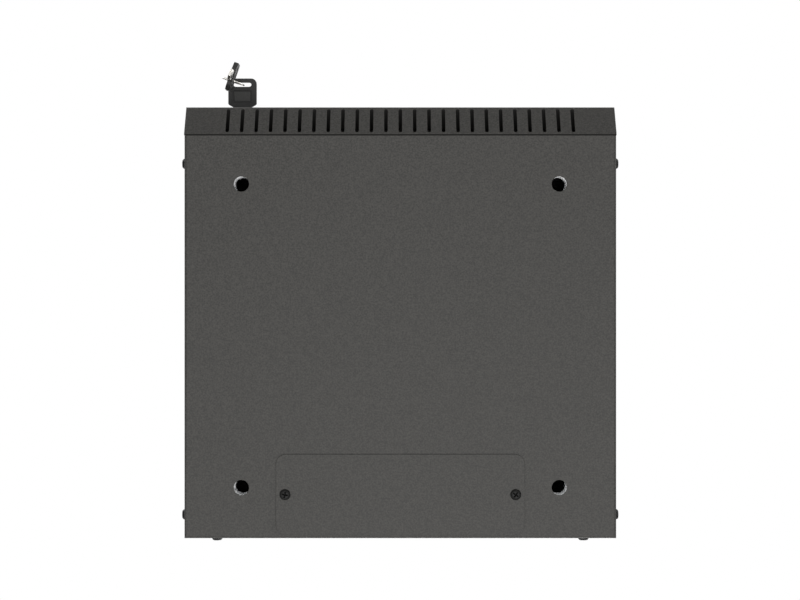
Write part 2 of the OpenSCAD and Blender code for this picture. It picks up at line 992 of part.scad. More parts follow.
// Z shaped clip: its foot stands on the door sheet, and its tongue holds the glass
module glass_clip() {
    seat = gasket_t + glass_t;
    difference() {
        translate([-clip_w / 2, 0, 0])
            rotate([90, 0, 90])
                linear_extrude(clip_w)
                    polygon([
                        [-clip_bite, seat],
                        [touch, seat],
                        [touch, 0],
                        [clip_foot, 0],
                        [clip_foot, clip_t],
                        [touch + clip_t, clip_t],
                        [touch + clip_t, seat + clip_t],
                        [-clip_bite, seat + clip_t]
                    ]);
        translate([0, clip_bite + clip_off, -overrun])
            cylinder(r = stud_r + blade_fit, h = clip_t + 2 * overrun);
    }
}

clip_nut_af = 5.5;
clip_nut_h = 2.4;
module glass_clips() {
    color(steel_color) at_clips() glass_clip();
}

module glass_clip_nuts() {
    color(steel_color)
        at_clips()
            translate([0, clip_bite + clip_off, clip_t]) hex_nut(clip_nut_af, clip_nut_h, stud_r + blade_fit);
}

door_earth_x = -window_w / 2 - border_side / 3;
door_earth_z = -door_half_h + border_end;
module at_door_earth() {
    translate([door_earth_x, front_y + sheet_t, door_earth_z]) rotate([-90, 0, 0]) children();
}

door_earth_l = 10;
module door_earth_stud() {
    color("goldenrod")
        at_door_earth() {
            cylinder(r = earth_head_r, h = earth_head_h);
            cylinder(r = earth_r, h = door_earth_l);
        }
}

module door_earth_nut() {
    color(steel_color) at_door_earth() stud_nut();
}

// Pivot pins. The lower one is riveted into the door's flange and turns in the bezel's floor.
pin_past = 2;
pin_reach = door_gap + sheet_t + pin_past;
lower_head_h = 3;
module hinge_pin_lower() {
    color(steel_color)
        translate([hinge_x, hinge_y, -door_half_h]) {
            translate([0, 0, -pin_reach]) cylinder(d = pin_d, h = pin_reach + sheet_t);
            translate([0, 0, sheet_t]) cylinder(r = collar_pin_r - pin_fit, h = lower_head_h);
        }
}

// The upper one slides in the door's flange and a welded bracket. A spring holds its collar up
// against the flange. The lever below draws it down, and the door lifts out.
pin_collar_h = 2;
pin_tail = 9;
lever_l = 14;
lever_r = 1.6;
ear_z = door_half_h - sheet_t - bracket_h;
collar_z = door_half_h - sheet_t - pin_collar_h - touch;
module hinge_bracket() {
    depth = hinge_back + collar_pin_r;
    plate_x = hinge_x - collar_pin_r - 2 * touch - bracket_ear;
    color(steel_color)
        difference() {
            union() {
                translate([plate_x, front_y + sheet_t, ear_z])
                    cube([bracket_ear, bracket_t, bracket_h - bend_in]);
                translate([plate_x, front_y + sheet_t, ear_z])
                    cube([door_w / 2 - bend_out - plate_x, depth, bracket_t]);
            }
            translate([hinge_x, hinge_y, ear_z - overrun])
                cylinder(r = pin_d / 2 + pin_fit, h = bracket_t + 2 * overrun);
        }
}

module hinge_pin_upper() {
    color(steel_color)
        translate([hinge_x, hinge_y, 0]) {
            translate([0, 0, ear_z - pin_tail])
                cylinder(d = pin_d, h = door_half_h + pin_reach - ear_z + pin_tail);
            translate([0, 0, collar_z]) cylinder(r = collar_pin_r - pin_fit, h = pin_collar_h);
            translate([0, 0, ear_z - pin_tail + 2 * lever_r])
                rotate([0, -90, 0]) cylinder(r = lever_r, h = lever_l);
        }
}

// Coil spring between the bracket's ear and the pin's collar
spring_wire = 0.4;
spring_turns = 7;
spring_steps = 12;
spring_sides = 6;
module hinge_spring() {
    low = ear_z + bracket_t + spring_wire + touch;
    high = collar_z - spring_wire - touch;
    radius = pin_d / 2 + spring_wire + touch;
    count = spring_turns * spring_steps;
    points = [
        for (i = [0:count], k = [0:spring_sides - 1])
            let(
                a = 360 * i / spring_steps,
                b = 360 * k / spring_sides,
                r = radius + spring_wire * cos(b)
            )
            [r * cos(a), r * sin(a), low + (high - low) * i / count + spring_wire * sin(b)]
    ];
    sides = [
        for (i = [0:count - 1], k = [0:spring_sides - 1])
            let(
                n = (k + 1) % spring_sides,
                p = i * spring_sides
            )
            [p + k, p + n, p + spring_sides + n, p + spring_sides + k]
    ];
    ends = [
        [for (k = [spring_sides - 1:-1:0]) k],
        [for (k = [0:spring_sides - 1]) count * spring_sides + k]
    ];
    color(steel_color)
        translate([hinge_x, hinge_y, 0])
            polyhedron(points, [for (f = concat(sides, ends)) reversed(f)]);
}

// Cam lock: a barrel with a domed flange, its nut behind the door, and the turning plug and cam
module lock_body() {
    color(steel_color)
        translate([lock_x, front_y, 0])
            rotate([-90, 0, 0])
                rotate_extrude($fn = 64)
                    polygon([
                        [plug_r + plug_fit, -lock_flange_h],
                        [lock_flange_r - lock_flange_h / 2, -lock_flange_h],
                        [lock_flange_r, -lock_flange_h / 2],
                        [lock_flange_r, 0],
                        [barrel_d / 2, 0],
                        [barrel_d / 2, barrel_l],
                        [plug_r + plug_fit, barrel_l]
                    ]);
}

module lock_nut() {
    color(steel_color)
        translate([lock_x, front_y + sheet_t, 0])
            rotate([-90, 30, 0]) hex_nut(lock_nut_af, lock_nut_h, barrel_d / 2 + blade_fit);
}

cam_y = front_y + barrel_l + plug_past;
module lock_plug() {
    face = front_y - lock_flange_h + touch;
    color(steel_color)
        difference() {
            union() {
                translate([lock_x, 0, 0]) bar_y(plug_r, face, cam_y);
                translate([lock_x, cam_y + cam_t / 2, 0])
                    cube([tang, cam_t + 2 * touch, tang], center = true);
            }
            translate([lock_x - keyway_w / 2, face - overrun, -keyway_h / 2])
                cube([keyway_w, keyway_l + overrun, keyway_h]);
            translate([lock_x, 0, 0])
                bar_y(cam_thread_r + blade_fit, cam_y - cam_thread_deep - overrun, cam_y + cam_t + overrun);
        }
}

cam_thread_deep = 3;
module lock_cam() {
    color(steel_color)
        translate([lock_x, 0, 0])
            along_y(cam_y, cam_y + cam_t)
                difference() {
                    translate([0, (cam_w / 2 - cam_reach) / 2])
                        rounded_plate(cam_w, cam_reach + cam_w / 2, cam_w / 4);
                    square(tang + 2 * touch, center = true);
                }
}

module cam_screw() {
    color(steel_color)
        translate([lock_x, cam_y + cam_t + touch, 0])
            rotate([-90, 0, 0]) {
                translate([0, 0, -cam_t - cam_thread_deep])
                    cylinder(r = cam_thread_r, h = cam_t + cam_thread_deep);
                cylinder(r = cam_screw_r, h = cam_screw_h, $fn = 6);
                cylinder(r = tang, h = sheet_t / 2);
            }
}

// Key, drawn with its head's base on y = 0, its head towards -Y and its blade towards +Y
module bow_outline() {
    half = bow_w / 2;
    neck = bow_neck_w / 2;
    outline(
        [
            [-neck, 0], [-half, -bow_taper], [-half, -bow_l],
            [half, -bow_l], [half, -bow_taper], [neck, 0]
        ],
        [bow_foot_r, bow_foot_r, bow_top_r, bow_top_r, bow_foot_r, bow_foot_r]
    );
}

slot_mid = -bow_l + bow_strip + bow_slot_h / 2;
module bow() {
    difference() {
        translate([0, 0, -bow_t / 2]) linear_extrude(bow_t) bow_outline();
        translate([0, slot_mid, 0])
            linear_extrude(bow_t + 2 * overrun, center = true)
                rounded_plate(bow_slot_w, bow_slot_h, bow_slot_h / 2 - touch);
        both_ends()
            translate([0, -bow_pad_up - bow_pad_l / 2, bow_t / 2 - bow_pad_deep])
                linear_extrude(bow_pad_deep + overrun)
                    difference() {
                        rounded_plate(bow_pad_w + 2 * bow_pad_r, bow_pad_l + 2 * bow_pad_r, bow_pad_r);
                        rounded_plate(bow_pad_w, bow_pad_l, bow_pad_r / 2);
                    }
        translate([0, overrun / 2 - blade_root / 2, 0])
            cube([blade_w + 2 * blade_fit, blade_root + overrun, blade_t + 2 * blade_fit], center = true);
    }
}

blade_out = bow_off - lock_flange_h + touch;
tip_l = 2.5;
cut_w = 1.6;
cut_count = 4;
module blade() {
    half = blade_w / 2;
    length = blade_out + blade_in;
    root = blade_root - 2 * blade_fit;
    translate([0, 0, -blade_t / 2])
        linear_extrude(blade_t)
            difference() {
                polygon([
                    [-half, -root], [half, -root], [half, length - tip_l],
                    [half - tip_l, length], [tip_l - half, length], [-half, length - tip_l]
                ]);
                for (i = [0:cut_count - 1], x = [-1, 1])
                    translate([x * half, length - tip_l - (2 * i + 1) * cut_w])
                        rotate(45) square(cut_w / (i % 2 + 1), center = true);
            }
}

// In the lock
module at_key() {
    translate([lock_x, front_y - bow_off, 0]) children();
}

module key_head() {
    color(plastic_color) at_key() bow();
}

module key_blade() {
    color(steel_color) at_key() blade();
}

// The ring hangs from the corner of the head, in an upright plane. The spare key hangs from the ring.
ring_x = lock_x - bow_w / 2 + ring_at[0];
ring_y = front_y - bow_off - bow_l + ring_at[1];
module at_ring() {
    translate([ring_x, ring_y, -ring_hang]) rotate(ring_turn) children();
}

module key_ring() {
    color(steel_color)
        at_ring()
            rotate([90, 0, 0])
                rotate_extrude($fn = 64) translate([ring_mean_r, 0]) circle(r = wire_r, $fn = 16);
}

// Spare key, head up: the ring passes through its slot, under the strip
module at_spare() {
    strip_low = -bow_l + bow_strip;
    at_ring()
        translate([0, 0, -ring_mean_r + wire_r + wire_gap])
            rotate([90, 0, 90])
                rotate(180)
                    translate([spare_slip, -strip_low, 0])
                        children();
}

module spare_key_head() {
    color(plastic_color) at_spare() bow();
}

module spare_key_blade() {
    color(steel_color) at_spare() blade();
}

bottom_panel();
top_panel();
left_side_panel();
right_side_panel();
rear_panel();
bottom_vent_bezel();
top_vent_bezel();
left_door_post();
right_door_post();
bottom_cable_cover();
top_cable_cover();
bottom_cover_screws();
top_cover_screws();
side_screws();
rear_screws();
foot_nuts();
rear_cable_edging();
bar_left_upper();
bar_left_lower();
bar_right_upper();
bar_right_lower();
earth_stud();
earth_nut();
door_bumpers();
door_frame();
door_glass();
glass_gasket();
glass_clips();
glass_clip_nuts();
door_earth_stud();
door_earth_nut();
hinge_bracket();
hinge_pin_lower();
hinge_pin_upper();
hinge_spring();
lock_body();
lock_nut();
lock_plug();
lock_cam();
cam_screw();
key_head();
key_blade();
key_ring();
spare_key_head();
spare_key_blade();
left_rail();
right_rail();
left_rail_screws();
right_rail_screws();
left_rail_nuts();
right_rail_nuts();
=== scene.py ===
import json
import math

import bmesh
import bpy
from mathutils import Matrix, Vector

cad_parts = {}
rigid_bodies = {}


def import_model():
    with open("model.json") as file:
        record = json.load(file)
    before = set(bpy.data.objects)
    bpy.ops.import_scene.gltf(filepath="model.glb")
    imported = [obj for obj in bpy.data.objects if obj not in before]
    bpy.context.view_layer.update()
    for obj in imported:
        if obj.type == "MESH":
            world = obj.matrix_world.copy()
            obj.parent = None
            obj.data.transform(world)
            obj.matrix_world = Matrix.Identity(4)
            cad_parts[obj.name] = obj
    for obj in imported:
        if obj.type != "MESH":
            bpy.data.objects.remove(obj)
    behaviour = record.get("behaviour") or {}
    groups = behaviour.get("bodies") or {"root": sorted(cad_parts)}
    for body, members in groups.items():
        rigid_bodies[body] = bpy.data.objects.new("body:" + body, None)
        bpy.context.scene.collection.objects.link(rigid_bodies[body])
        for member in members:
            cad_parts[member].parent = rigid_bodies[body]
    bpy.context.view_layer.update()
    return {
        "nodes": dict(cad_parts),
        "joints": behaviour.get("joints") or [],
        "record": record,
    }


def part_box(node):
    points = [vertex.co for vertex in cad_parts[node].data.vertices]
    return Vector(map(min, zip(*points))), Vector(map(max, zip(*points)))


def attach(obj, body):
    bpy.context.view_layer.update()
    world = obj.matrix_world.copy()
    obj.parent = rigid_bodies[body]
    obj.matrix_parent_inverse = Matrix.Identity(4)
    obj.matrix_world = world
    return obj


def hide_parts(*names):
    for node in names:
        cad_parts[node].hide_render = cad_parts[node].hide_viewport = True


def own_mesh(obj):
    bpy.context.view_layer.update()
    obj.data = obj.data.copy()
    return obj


for leftover in list(bpy.data.objects):
    bpy.data.objects.remove(leftover)
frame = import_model()


# The view. The photograph looks straight up at the underside, with the door's edge at the top of
# the picture. Its middle lies on the centre line, a little in front of the middle of the bottom.
picture_w = 800
bottom_w_pixels = 432.1
view_distance = 1.9
rear_edge_to_axis = 0.17216
axis_off_middle = 0.00024

bottom_low, bottom_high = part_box("bottom_panel")
metres_per_pixel = (bottom_high.x - bottom_low.x) / bottom_w_pixels
camera_data = bpy.data.cameras.new("camera")
camera_data.sensor_width = 36
camera_data.lens = camera_data.sensor_width * view_distance / (picture_w * metres_per_pixel)
camera_data.clip_end = 40
camera = bpy.data.objects.new("camera", camera_data)
camera.location = (-axis_off_middle, bottom_high.y - rear_edge_to_axis, bottom_low.z - view_distance)
camera.rotation_euler = (math.pi, 0, 0)
bpy.context.scene.collection.objects.link(camera)
bpy.context.scene.camera = camera


# Case panels: steel sheet, folded, then sprayed with a fine textured black powder coat and baked.
# Each shown panel is its CAD shape with its doubles merged and the cut edges of the sheet rounded
# by the coat.
coat_edge = 0.00018
edge_segments = 2
edge_angle = math.radians(32)
crease_angle = math.radians(34)
flat_angle = math.radians(0.4)
merge_gap = 2e-6
coat_dark = (0.017, 0.0163, 0.0146, 1)
coat_light = (0.05, 0.048, 0.0437, 1)
# The colour of the painted shade: a near-black for the bezels' faces deep in their folds.
painted_shade_colour = (0.02, 0.0195, 0.0185, 1)


def new_material(name):
    """An empty node material, with its Principled shader and the object's own coordinates."""
    material = bpy.data.materials.new(name)
    material.use_nodes = True
    tree = material.node_tree
    tree.nodes.clear()
    output = tree.nodes.new("ShaderNodeOutputMaterial")
    shader = tree.nodes.new("ShaderNodeBsdfPrincipled")
    tree.links.new(shader.outputs["BSDF"], output.inputs["Surface"])
    place = tree.nodes.new("ShaderNodeTexCoord")
    return material, tree, shader, place.outputs["Object"]


def noise(tree, place, scale, detail=3):
    """Noise of the given scale."""
    node = tree.nodes.new("ShaderNodeTexNoise")
    node.inputs["Scale"].default_value = scale
    node.inputs["Detail"].default_value = detail
    tree.links.new(place, node.inputs["Vector"])
    return node.outputs["Fac"]


def between(tree, value, low, high, start=0.3, end=0.7):
    """A number or a colour that goes from low to high as value goes from start to end."""
    if isinstance(low, tuple):
        ramp = tree.nodes.new("ShaderNodeValToRGB")
        ramp.color_ramp.elements[0].position = start
        ramp.color_ramp.elements[1].position = end
        ramp.color_ramp.elements[0].color = low
        ramp.color_ramp.elements[1].color = high
        tree.links.new(value, ramp.inputs["Fac"])
        return ramp.outputs["Color"]
    mapped = tree.nodes.new("ShaderNodeMapRange")
    mapped.inputs["From Min"].default_value = start
    mapped.inputs["From Max"].default_value = end
    mapped.inputs["To Min"].default_value = low
    mapped.inputs["To Max"].default_value = high
    tree.links.new(value, mapped.inputs["Value"])
    return mapped.outputs["Result"]


def bump(tree, shader, height, distance, strength):
    """Relief of the given depth in metres."""
    node = tree.nodes.new("ShaderNodeBump")
    node.inputs["Distance"].default_value = distance
    node.inputs["Strength"].default_value = strength
    tree.links.new(height, node.inputs["Height"])
    tree.links.new(node.outputs["Normal"], shader.inputs["Normal"])


def grain_group():
    """Shader group: the cells and specks of a sprayed or moulded surface, as a tone and a height."""
    group = bpy.data.node_groups.new("surface_grain", "ShaderNodeTree")
    for name, kind, direction in (
        ("Vector", "NodeSocketVector", "INPUT"),
        ("Cell Scale", "NodeSocketFloat", "INPUT"),
        ("Patch Scale", "NodeSocketFloat", "INPUT"),
        ("Patch Share", "NodeSocketFloat", "INPUT"),
        ("Tone", "NodeSocketFloat", "OUTPUT"),
        ("Height", "NodeSocketFloat", "OUTPUT"),
    ):
        group.interface.new_socket(name, in_out=direction, socket_type=kind)
    entry = group.nodes.new("NodeGroupInput")
    exit_node = group.nodes.new("NodeGroupOutput")
    cells = group.nodes.new("ShaderNodeTexNoise")
    cells.inputs["Detail"].default_value = 4
    cells.inputs["Roughness"].default_value = 0.65
    patches = group.nodes.new("ShaderNodeTexNoise")
    patches.inputs["Detail"].default_value = 2
    tone = group.nodes.new("ShaderNodeMix")
    tone.data_type = "FLOAT"
    for node, scale in ((cells, "Cell Scale"), (patches, "Patch Scale")):
        group.links.new(entry.outputs["Vector"], node.inputs["Vector"])
        group.links.new(entry.outputs[scale], node.inputs["Scale"])
    group.links.new(cells.outputs["Fac"], tone.inputs["A"])
    group.links.new(patches.outputs["Fac"], tone.inputs["B"])
    group.links.new(entry.outputs["Patch Share"], tone.inputs["Factor"])
    group.links.new(tone.outputs["Result"], exit_node.inputs["Tone"])
    group.links.new(cells.outputs["Fac"], exit_node.inputs["Height"])
    return group


surface_grain = grain_group()


def grain(tree, place, cell_scale, patch_scale, patch_share=0.45):
    """The grain group in a material, with that material's own scales."""
    node = tree.nodes.new("ShaderNodeGroup")
    node.node_tree = surface_grain
    node.inputs["Cell Scale"].default_value = cell_scale
    node.inputs["Patch Scale"].default_value = patch_scale
    node.inputs["Patch Share"].default_value = patch_share
    tree.links.new(place, node.inputs["Vector"])
    return node.outputs["Tone"], node.outputs["Height"]


def powder_coat():
    """Fine textured black powder coat: nearly flat, with small cells and faint cloudy patches."""
    material, tree, shader, place = new_material("black_powder_coat")
    tone, height = grain(tree, place, 850, 300, 0.1)
    tree.links.new(between(tree, tone, coat_dark, coat_light, 0.38, 0.62), shader.inputs["Base Color"])
    tree.links.new(between(tree, height, 0.52, 0.62), shader.inputs["Roughness"])
    shader.inputs["Specular IOR Level"].default_value = 0.3
    bump(tree, shader, height, 0.00006, 0.6)
    return material


def painted_shade():
    """Painted shade: a dull near-black coat for the faces deep in the bezels' closed folds."""
    material, tree, shader, place = new_material("dull_primer")
    shader.inputs["Base Color"].default_value = painted_shade_colour
    shader.inputs["Specular IOR Level"].default_value = 0.05
    tree.links.new(between(tree, noise(tree, place, 300), 0.8, 0.92), shader.inputs["Roughness"])
    return material


def finished(piece, edge):
    """Rounds the sharp edges of a piece, smooths it and leaves a plain mesh."""
    rounding = piece.modifiers.new("rounding", "BEVEL")
    rounding.width = edge
    rounding.segments = edge_segments
    rounding.limit_method = "ANGLE"
    rounding.angle_limit = edge_angle
    flat = piece.modifiers.new("flat_faces", "WEIGHTED_NORMAL")
    flat.keep_sharp = True
    bpy.context.view_layer.update()
    seen = piece.evaluated_get(bpy.context.evaluated_depsgraph_get())
    plain = bpy.data.meshes.new_from_object(seen)
    piece.modifiers.clear()
    piece.data = plain
    return piece


def rounded_copy(node, edge, material, reshape=None):
    """A piece with the shape of a CAD node, merged, with its edges rounded."""
    work = bmesh.new()
    work.from_mesh(frame["nodes"][node].data)
    bmesh.ops.remove_doubles(work, verts=work.verts, dist=merge_gap)
    bmesh.ops.dissolve_limit(
        work, angle_limit=flat_angle, verts=work.verts, edges=work.edges, delimit={"NORMAL"}
    )
    if reshape:
        for vertex in work.verts:
            reshape(vertex.co)
    mesh = bpy.data.meshes.new(node + "_finish")
    work.to_mesh(mesh)
    work.free()
    mesh.materials.clear()
    mesh.materials.append(material)
    mesh.polygons.foreach_set("material_index", [0] * len(mesh.polygons))
    mesh.shade_smooth()
    mesh.set_sharp_from_angle(angle=crease_angle)
    piece = bpy.data.objects.new(mesh.name, mesh)
    bpy.context.scene.collection.objects.link(piece)
    return finished(piece, edge)


def body_of(node):
    """The body that a CAD node belongs to."""
    groups = frame["record"]["behaviour"]["bodies"]
    return next(body for body, members in groups.items() if node in members)


def stands_for(piece, *members):
    """The piece replaces these CAD nodes and rides with them."""
    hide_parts(*members)
    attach(piece, body_of(members[0]))


black_coat = powder_coat()
for panel in ("bottom_panel", "top_panel", "left_side_panel", "right_side_panel", "rear_panel"):
    stands_for(rounded_copy(panel, coat_edge, black_coat), panel)


# Vented bezels and door posts: the front of the case, folded from the same sheet and sprayed
# with it. Each bezel's slope has its row of slots, and its ends are closed by welded plates.
seam_w = 0.0012
recess_floor_h = 0.0223
# How deep behind a bezel's slope the painted shade begins.
painted_shade_depth = 0.0004


def paint_inside_shade(piece, outer_z, up):
    """Paints shade on a bezel's faces behind its slope, below the floor of the door recess."""
    piece.data.materials.append(dull_primer)
    foot_y = bottom_low.y - seam_w
    for face in piece.data.polygons:
        height = (face.center.z - outer_z) * up
        deep = (face.center.y - foot_y + height) / math.sqrt(2)
        if deep > painted_shade_depth and height < recess_floor_h:
            face.material_index = 1


# Painted shade: each bezel's faces deep behind its slope get a near-black coat in place of the shade that
# falls there.
dull_primer = painted_shade()
for bezel, outer_z, up in (("bottom_vent_bezel", bottom_low.z, 1), ("top_vent_bezel", -bottom_low.z, -1)):
    piece = rounded_copy(bezel, coat_edge, black_coat)
    paint_inside_shade(piece, outer_z, up)
    stands_for(piece, bezel)
for post in ("left_door_post", "right_door_post"):
    stands_for(rounded_copy(post, coat_edge, black_coat), post)


# Cable covers: flat plates with rounded corners, over the cable entries at the rear of the
# bottom and of the top.
for cover in ("bottom_cable_cover", "top_cable_cover"):
    stands_for(rounded_copy(cover, coat_edge, black_coat), cover)


# Case screws: M4 pan heads with a cross recess, black zinc on steel. They hold the covers and
# the edges of the case, and their threads show inside it.
screw_sides = 40
screw_tip_share = 0.7
thread_lead = 0.0003
thread_root_share = 0.86
head_rim_share = 0.97
head_dome_share = 0.5
head_dome_steps = 7
recess_l = 0.0046
recess_w = 0.0012
recess_deep = 0.0022
recess_shares = ((1, 1.5), (-0.6, 0.7), (-1, 0.1))
pole_gap = 1e-7


def turned(name, rings, steps, closed=False):
    """A turned mesh. A ring is a height and a radius, or a height and a function of the angle."""
    work = bmesh.new()
    columns = []
    for z, radius in rings:
        row = []
        for i in range(steps):
            a = math.tau * i / steps
            r = radius(a) if callable(radius) else radius
            row.append(work.verts.new((r * math.cos(a), r * math.sin(a), z)))
        columns.append(row)
    pairs = list(zip(columns, columns[1:]))
    if closed:
        pairs.append((columns[-1], columns[0]))
    for lower, upper in pairs:
        for i in range(steps):
            j = (i + 1) % steps
            work.faces.new((lower[i], lower[j], upper[j], upper[i]))
    bmesh.ops.remove_doubles(work, verts=work.verts, dist=pole_gap)
    bmesh.ops.recalc_face_normals(work, faces=work.faces)
    mesh = bpy.data.meshes.new(name)
    work.to_mesh(mesh)
    work.free()
    mesh.shade_smooth()
    mesh.set_sharp_from_angle(angle=crease_angle)
    return mesh


def thread_rings(low, high, minor, major, pitch, per_turn, fade=0.0004):
    """Rings of a helical thread between two heights, fading out at both ends."""
    count = max(2, round((high - low) / pitch * per_turn))
    rings = []
    for i in range(count + 1):
        z = low + (high - low) * i / count
        depth = min(1, (z - low) / fade, (high - z) / fade)

        def radius(a, z=z, depth=depth):
            phase = (z / pitch - a / math.tau) % 1
            return minor + (major - minor) * abs(2 * phase - 1) * depth

        rings.append((z, radius))
    return rings


def cut(piece, cutter):
    """Takes the cutter's shape out of the piece."""
    boolean = piece.modifiers.new("cut", "BOOLEAN")
    boolean.operation = "DIFFERENCE"
    boolean.solver = "EXACT"
    boolean.object = cutter
    bpy.context.view_layer.update()
    seen = piece.evaluated_get(bpy.context.evaluated_depsgraph_get())
    plain = bpy.data.meshes.new_from_object(seen)
    piece.modifiers.clear()
    piece.data = plain
    plain.shade_smooth()
    plain.set_sharp_from_angle(angle=crease_angle)


def linked(name, mesh):
    """An object of the scene with this mesh."""
    made = bpy.data.objects.new(name, mesh)
    bpy.context.scene.collection.objects.link(made)
    return made


def tapered_cross(length, width, depth):
    """The shape of a cross recess: from above the head's top, at z = 0, it narrows to a point."""
    a, b = width / 2, length / 2
    plan = [(a, a), (a, b), (-a, b), (-a, a), (-b, a), (-b, -a),
            (-a, -a), (-a, -b), (a, -b), (a, -a), (b, -a), (b, a)]
    work = bmesh.new()
    rings = [
        [work.verts.new((x * share, y * share, depth * height_share)) for x, y in plan]
        for height_share, share in recess_shares
    ]
    work.faces.new(rings[0])
    work.faces.new(rings[-1][::-1])
    for high, low in zip(rings, rings[1:]):
        for i in range(len(plan)):
            j = (i + 1) % len(plan)
            work.faces.new((high[j], high[i], low[i], low[j]))
    bmesh.ops.recalc_face_normals(work, faces=work.faces)
    mesh = bpy.data.meshes.new("cross")
    work.to_mesh(mesh)
    work.free()
    return mesh


def pan_screw(name, shank_r, shank_l, head_r, head_h, pitch, cross_share=1.0):
    """A pan head screw whose head's top is at its origin and whose shank points down."""
    tip = -head_h - shank_l
    rings = [(tip, 0), (tip, shank_r * screw_tip_share)]
    rings += thread_rings(tip + thread_lead, -head_h, shank_r * thread_root_share, shank_r, pitch, 5)
    rings += [(-head_h, shank_r), (-head_h, head_r * head_rim_share)]
    for i in range(head_dome_steps):
        a = math.pi / 2 * (i + 1) / head_dome_steps
        rings.append((-head_h * (1 - math.sin(a)), head_r * (1 - head_dome_share * (1 - math.cos(a)))))
    rings += [(0, 0)]
    piece = linked(name, turned(name, rings, screw_sides))
    cross = linked("cross", tapered_cross(recess_l * cross_share, recess_w * cross_share, recess_deep))
    cut(piece, cross)
    bpy.data.objects.remove(cross)
    return piece


def fastener_tree():
    """Geometry nodes: sets a fastener on each point, its axis along the point's own direction."""
    tree = bpy.data.node_groups.new("fasteners_on_points", "GeometryNodeTree")
    tree.interface.new_socket("Geometry", in_out="INPUT", socket_type="NodeSocketGeometry")
    tree.interface.new_socket("Fastener", in_out="INPUT", socket_type="NodeSocketObject")
    tree.interface.new_socket("Turn", in_out="INPUT", socket_type="NodeSocketFloat")
    tree.interface.new_socket("Turn Spread", in_out="INPUT", socket_type="NodeSocketFloat")
    tree.interface.new_socket("Material", in_out="INPUT", socket_type="NodeSocketMaterial")
    tree.interface.new_socket("Geometry", in_out="OUTPUT", socket_type="NodeSocketGeometry")
    add = tree.nodes.new
    link = tree.links.new
    entry, leave = add("NodeGroupInput"), add("NodeGroupOutput")
    points = add("GeometryNodeMeshToPoints")
    direction = add("GeometryNodeInputNamedAttribute")
    direction.data_type = "FLOAT_VECTOR"
    direction.inputs["Name"].default_value = "outward"
    align = add("FunctionNodeAlignRotationToVector")
    align.axis = "Z"
    random_turn = add("FunctionNodeRandomValue")
    random_turn.data_type = "FLOAT"
    random_turn.inputs["Seed"].default_value = 7
    spread = add("ShaderNodeMath")
    spread.operation = "MULTIPLY_ADD"
    axis_turn = add("FunctionNodeAxisAngleToRotation")
    axis_turn.inputs["Axis"].default_value = (0, 0, 1)
    rotate = add("FunctionNodeRotateRotation")
    rotate.rotation_space = "LOCAL"
    source = add("GeometryNodeObjectInfo")
    instance = add("GeometryNodeInstanceOnPoints")
    realize = add("GeometryNodeRealizeInstances")
    paint = add("GeometryNodeSetMaterial")
    link(entry.outputs["Geometry"], points.inputs["Mesh"])
    link(direction.outputs["Attribute"], align.inputs["Vector"])
    link(random_turn.outputs["Value"], spread.inputs[0])
    link(entry.outputs["Turn Spread"], spread.inputs[1])
    link(entry.outputs["Turn"], spread.inputs[2])
    link(spread.outputs["Value"], axis_turn.inputs["Angle"])
    link(align.outputs["Rotation"], rotate.inputs["Rotation"])
    link(axis_turn.outputs["Rotation"], rotate.inputs["Rotate By"])
    link(entry.outputs["Fastener"], source.inputs["Object"])
    link(points.outputs["Points"], instance.inputs["Points"])
    link(source.outputs["Geometry"], instance.inputs["Instance"])
    link(rotate.outputs["Rotation"], instance.inputs["Rotation"])
    link(instance.outputs["Instances"], realize.inputs["Geometry"])
    link(realize.outputs["Geometry"], paint.inputs["Geometry"])
    link(entry.outputs["Material"], paint.inputs["Material"])
    link(paint.outputs["Geometry"], leave.inputs["Geometry"])
    return tree


fasteners_on_points = fastener_tree()


def socket_id(tree, name):
    """The identifier of a tree's input, by which a modifier sets it."""
    return next(item.identifier for item in tree.interface.items_tree
                if item.item_type == "SOCKET" and item.in_out == "INPUT" and item.name == name)


def grown(name, mesh, tree, **values):
    """Runs a geometry node tree on a mesh and leaves the plain mesh that it makes."""
    piece = linked(name, mesh)
    modifier = piece.modifiers.new("tree", "NODES")
    modifier.node_group = tree
    for key, value in values.items():
        modifier[socket_id(tree, key.replace("_", " "))] = value
    bpy.context.view_layer.update()
    seen = piece.evaluated_get(bpy.context.evaluated_depsgraph_get())
    plain = bpy.data.meshes.new_from_object(seen)
    piece.modifiers.clear()
    piece.data = plain
    return piece


def solids_of(node):
    """The lowest and highest corners of each separate solid in a CAD node."""
    work = bmesh.new()
    work.from_mesh(frame["nodes"][node].data)
    bmesh.ops.remove_doubles(work, verts=work.verts, dist=merge_gap)
    unseen, boxes = set(work.verts), []
    while unseen:
        front = [unseen.pop()]
        island = []
        while front:
            vertex = front.pop()
            island.append(vertex.co.copy())
            for edge in vertex.link_edges:
                other = edge.other_vert(vertex)
                if other in unseen:
                    unseen.discard(other)
                    front.append(other)
        boxes.append((
            Vector([min(p[k] for p in island) for k in range(3)]),
            Vector([max(p[k] for p in island) for k in range(3)]),
        ))
    work.free()
    return sorted(boxes, key=lambda pair: tuple(round(v, 5) for v in pair[0]))


def set_fasteners(node, prototype, outward, material, turn=0.0, spread=0.0):
    """Replaces each fastener of a CAD node. outward is its direction, or a function of its middle."""
    places, directions = [], []
    for low, high in solids_of(node):
        middle = (low + high) / 2
        way = Vector(outward(middle) if callable(outward) else outward)
        half = (high - low) / 2
        places.append(middle + Vector(way[k] * half[k] for k in range(3)))
        directions.append(way)
    mesh = bpy.data.meshes.new(node + "_finish")
    mesh.from_pydata(places, [], [])
    layer = mesh.attributes.new("outward", "FLOAT_VECTOR", "POINT")
    for i, way in enumerate(directions):
        layer.data[i].vector = way
    piece = grown(
        node + "_finish", mesh, fasteners_on_points,
        Fastener=prototype, Turn=turn, Turn_Spread=spread, Material=material,
    )
    stands_for(piece, node)


